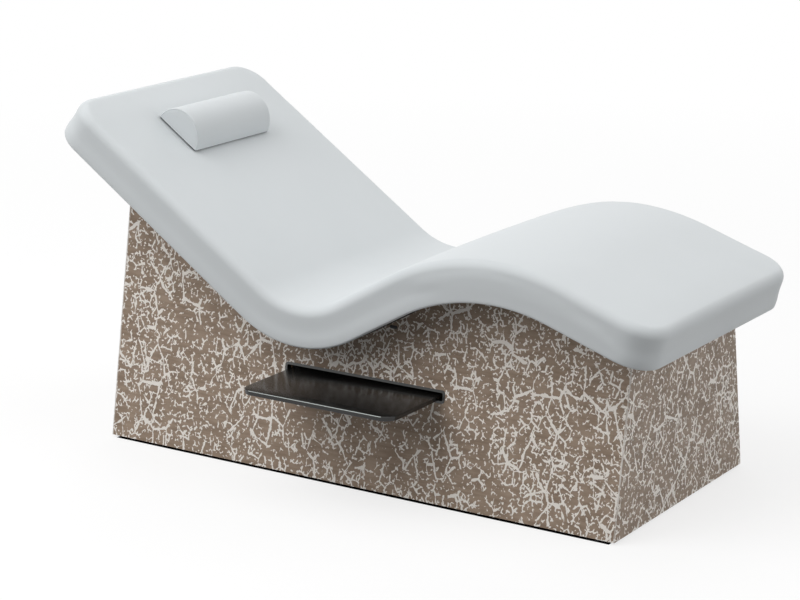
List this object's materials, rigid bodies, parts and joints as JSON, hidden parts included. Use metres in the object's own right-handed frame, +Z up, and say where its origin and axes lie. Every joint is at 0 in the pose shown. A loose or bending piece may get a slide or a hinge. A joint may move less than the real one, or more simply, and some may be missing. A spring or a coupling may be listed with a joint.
{
  "type": "spa relaxation lounger",
  "caption": "Wave-shaped padded relaxation lounger on a leaning box base with printed panels, a pull-out side tray and a movable half-round head pillow.",
  "frame": {"origin": "on the floor, under the middle of the box base", "axes": "+X along the lounger to the foot end, +Y across it away from the tray side, +Z up"},
  "size_m": [1.974, 1.0265, 1.0153],
  "materials": {
    "black_rail": "matte",
    "printed_laminate": "satin",
    "board": "matte",
    "moulded_ply": "matte",
    "vinyl_cover": "satin",
    "foam": "matte",
    "dust_cloth": "matte",
    "slot_trim": "satin",
    "tray_gloss": "gloss",
    "dark_metal": "satin",
    "black_plastic": "matte",
    "grip_rubber": "matte",
    "zinc_steel": "satin"
  },
  "bodies": {
    "base": {"plinth_rail_near": "black_rail", "plinth_rail_far": "black_rail", "plinth_rail_head": "black_rail", "plinth_rail_mid": "black_rail", "plinth_rail_foot": "black_rail", "side_board_near": "board", "side_board_far": "board", "head_board": "board", "foot_board": "board", "near_laminate": "printed_laminate", "far_laminate": "printed_laminate", "head_laminate": "printed_laminate", "foot_laminate": "printed_laminate", "corner_post_near_head": "board", "corner_post_far_head": "board", "corner_post_near_foot": "board", "corner_post_far_foot": "board", "back_rib": "board", "seat_rib": "board", "knee_rib": "board", "leg_rib": "board", "head_angles": "zinc_steel", "back_angles": "zinc_steel", "leg_angles": "zinc_steel", "foot_angles": "zinc_steel", "angle_screws": "zinc_steel", "slot_trim": "slot_trim", "tray_guide_head": "black_plastic", "tray_guide_foot": "black_plastic", "guide_screws": "zinc_steel", "blanking_cap": "black_plastic", "pad_shell": "moulded_ply", "dust_cloth": "dust_cloth", "foam_core": "foam", "foam_topper": "foam", "pad_cover": "vinyl_cover"},
    "tray": {"tray_plate": "tray_gloss", "tray_stop_bar": "dark_metal", "stop_bar_screws": "zinc_steel"},
    "pillow": {"pillow_cover": "vinyl_cover", "pillow_foam": "foam", "pillow_grip_sheet": "grip_rubber"}
  },
  "joints": [
    {"name": "tray_slide", "type": "slide", "parent": "base", "child": "tray", "axis": [0, 1, 0], "range_m": [0, 0.222]},
    {"name": "pillow_shift", "type": "slide", "parent": "base", "child": "pillow", "axis": [0.8227, 0, -0.5685], "range_m": [-0.05, 0.2]}
  ]
}
